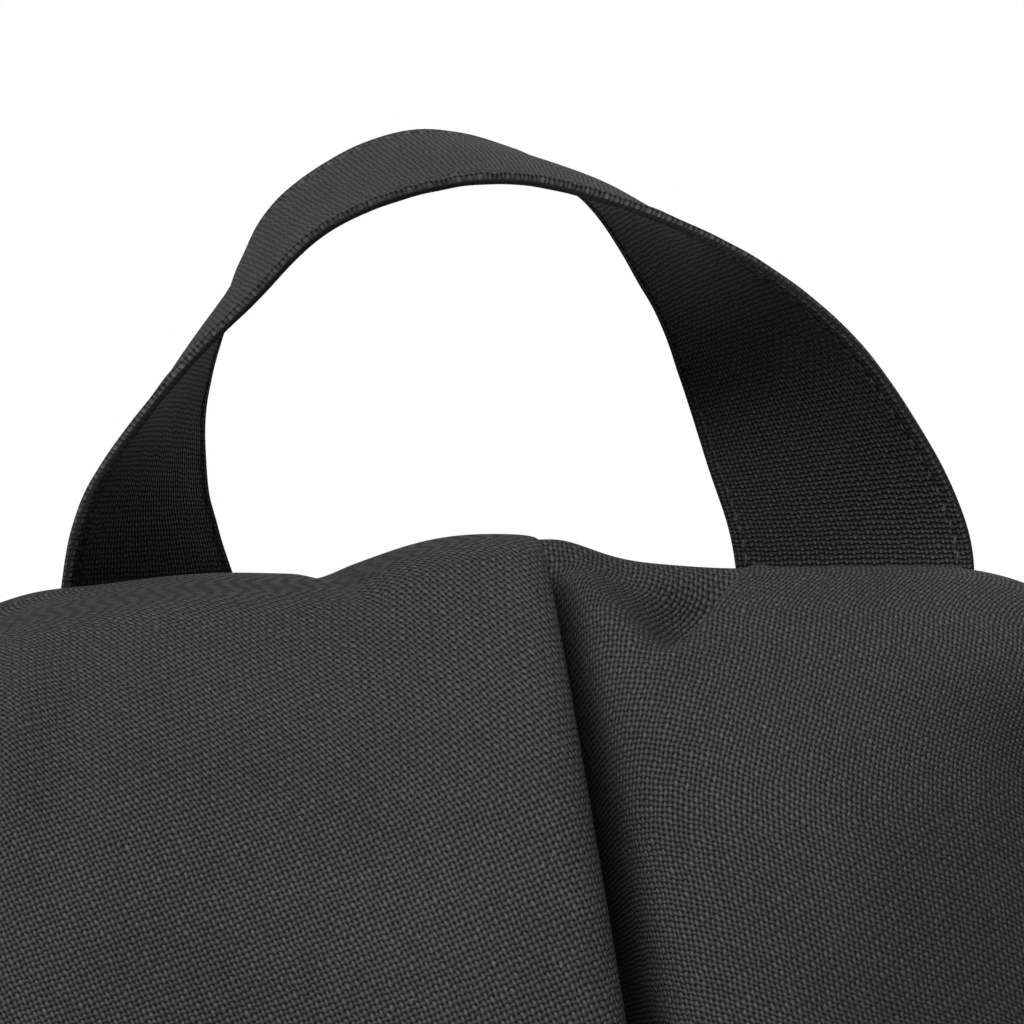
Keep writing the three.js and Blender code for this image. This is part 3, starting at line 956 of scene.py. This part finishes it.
def stitch_rows(name, lines):
    """Stitches along straight or curved lines. Each line is (points, up)."""
    parts = []
    for points, up in lines:
        points = np.array(points, float)
        whole = arc_lengths(points)[-1]
        for place in np.arange(STITCH_PITCH / 2, whole, STITCH_PITCH):
            centre, ahead = resample(points, [place, min(place + 0.5, whole)])
            run = ahead - centre
            if np.linalg.norm(run) < 1e-6:
                continue
            parts.append(stitch(centre, run / np.linalg.norm(run), np.array(up, float)))
    vertices, faces = joined(parts)
    return new_object(name, vertices, faces, THREAD)


def on_band(x, y, over):
    """A point that far over the band's top."""
    return x, y, band_top(y) - band_sag(x, y) + over


def add_band():
    band = sheet_on_band("band_cloth", (-BAND_REACH, BAND_REACH), BAND_HALF, -BAND_THICK, 0, BAG_CLOTH,
                         sag=0.25)
    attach(band, "saddle")
    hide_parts("saddle_band")
    xs = np.linspace(4 - BAND_REACH, BAND_REACH - 4, 60)
    lines = [([on_band(x, y, 0.02) for x in xs], (0, 0, 1)) for y in (-BAND_STITCH_Y, BAND_STITCH_Y)]
    stitches = stitch_rows("band_stitches", lines)
    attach(stitches, "saddle")


def add_neck_seam(side, edge, sides=12):
    """A rolled seam that closes the line between the band's edge and the pouch's neck."""
    xs = np.linspace(2 - BAND_REACH, BAND_REACH - 2, 120)
    heights = band_top(edge) - band_sag(xs, edge) - NECK_ROLL
    path = np.stack([xs, np.full_like(xs, edge * 1.03), heights], axis=1)
    vertices, faces = tube(path, NECK_ROLL, sides)
    seam = new_object(f"{side}_neck_seam", vertices, faces, BINDING_CLOTH)
    around = np.arange(sides) * math.tau / sides * NECK_ROLL
    set_cloth_uv(seam, np.stack(np.broadcast_arrays(around[None], xs[:, None]), axis=-1))
    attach(seam, "saddle")


def add_lining():
    low, high = box_mm("band_lining")
    lining = sheet_on_band("band_webbing", (low[0], high[0]), high[1], *LINING_LAYER, BAND_WEBBING)
    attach(lining, "saddle")
    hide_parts("band_lining")


def add_patch(name):
    """A patch under a foot of the strap, with stitches all round."""
    low, high = box_mm(f"handle_patch_{name}")
    patch = sheet_on_band(f"strap_patch_{name}", (low[0], high[0]), high[1], *PATCH_LAYER, STRAP_CLOTH)
    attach(patch, "saddle")
    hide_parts(f"handle_patch_{name}")
    over = PATCH_LAYER[1] - 0.03
    x0, x1, y1 = low[0] + PATCH_INSET, high[0] - PATCH_INSET, high[1] - PATCH_INSET
    ends = [[on_band(x, y, over) for y in np.linspace(-y1, y1, 20)] for x in (x0, x1)]
    sides = [[on_band(x, y, over) for x in np.linspace(x0, x1, 20)] for y in (-y1, y1)]
    stitches = stitch_rows(f"patch_stitches_{name}", [(line, (0, 0, 1)) for line in ends + sides])
    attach(stitches, "saddle")


add_band()
for side, edge in (("front", -BAND_HALF), ("back", BAND_HALF)):
    add_neck_seam(side, edge)
add_lining()
for name in ("left", "right"):
    add_patch(name)


# ---------------------------------------------------------------- pouches

for side, turn in (("front", (1, 1, 1)), ("back", (-1, -1, 1))):
    add_cover(side, POUCHES[side], np.array(turn))
    add_binding(side, POUCHES[side], np.array(turn))
    add_filling(side, POUCHES[side], np.array(turn))


# ---------------------------------------------------------------- finishes of the CAD pieces that stay

KEPT = {}
for side in ("front", "back"):
    for part in ("slider", "pull", "top_stop", "end_stop"):
        KEPT[f"{side}_zip_{part}"] = ZIP_METAL
    for half in ("upper", "lower"):
        KEPT[f"{side}_zip_tape_{half}"] = TAPE_CLOTH
        KEPT[f"{side}_zip_teeth_{half}"] = ZIP_NYLON
for node, material in KEPT.items():
    mesh_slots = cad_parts[node].material_slots
    for mesh_slot in mesh_slots:
        mesh_slot.material = material
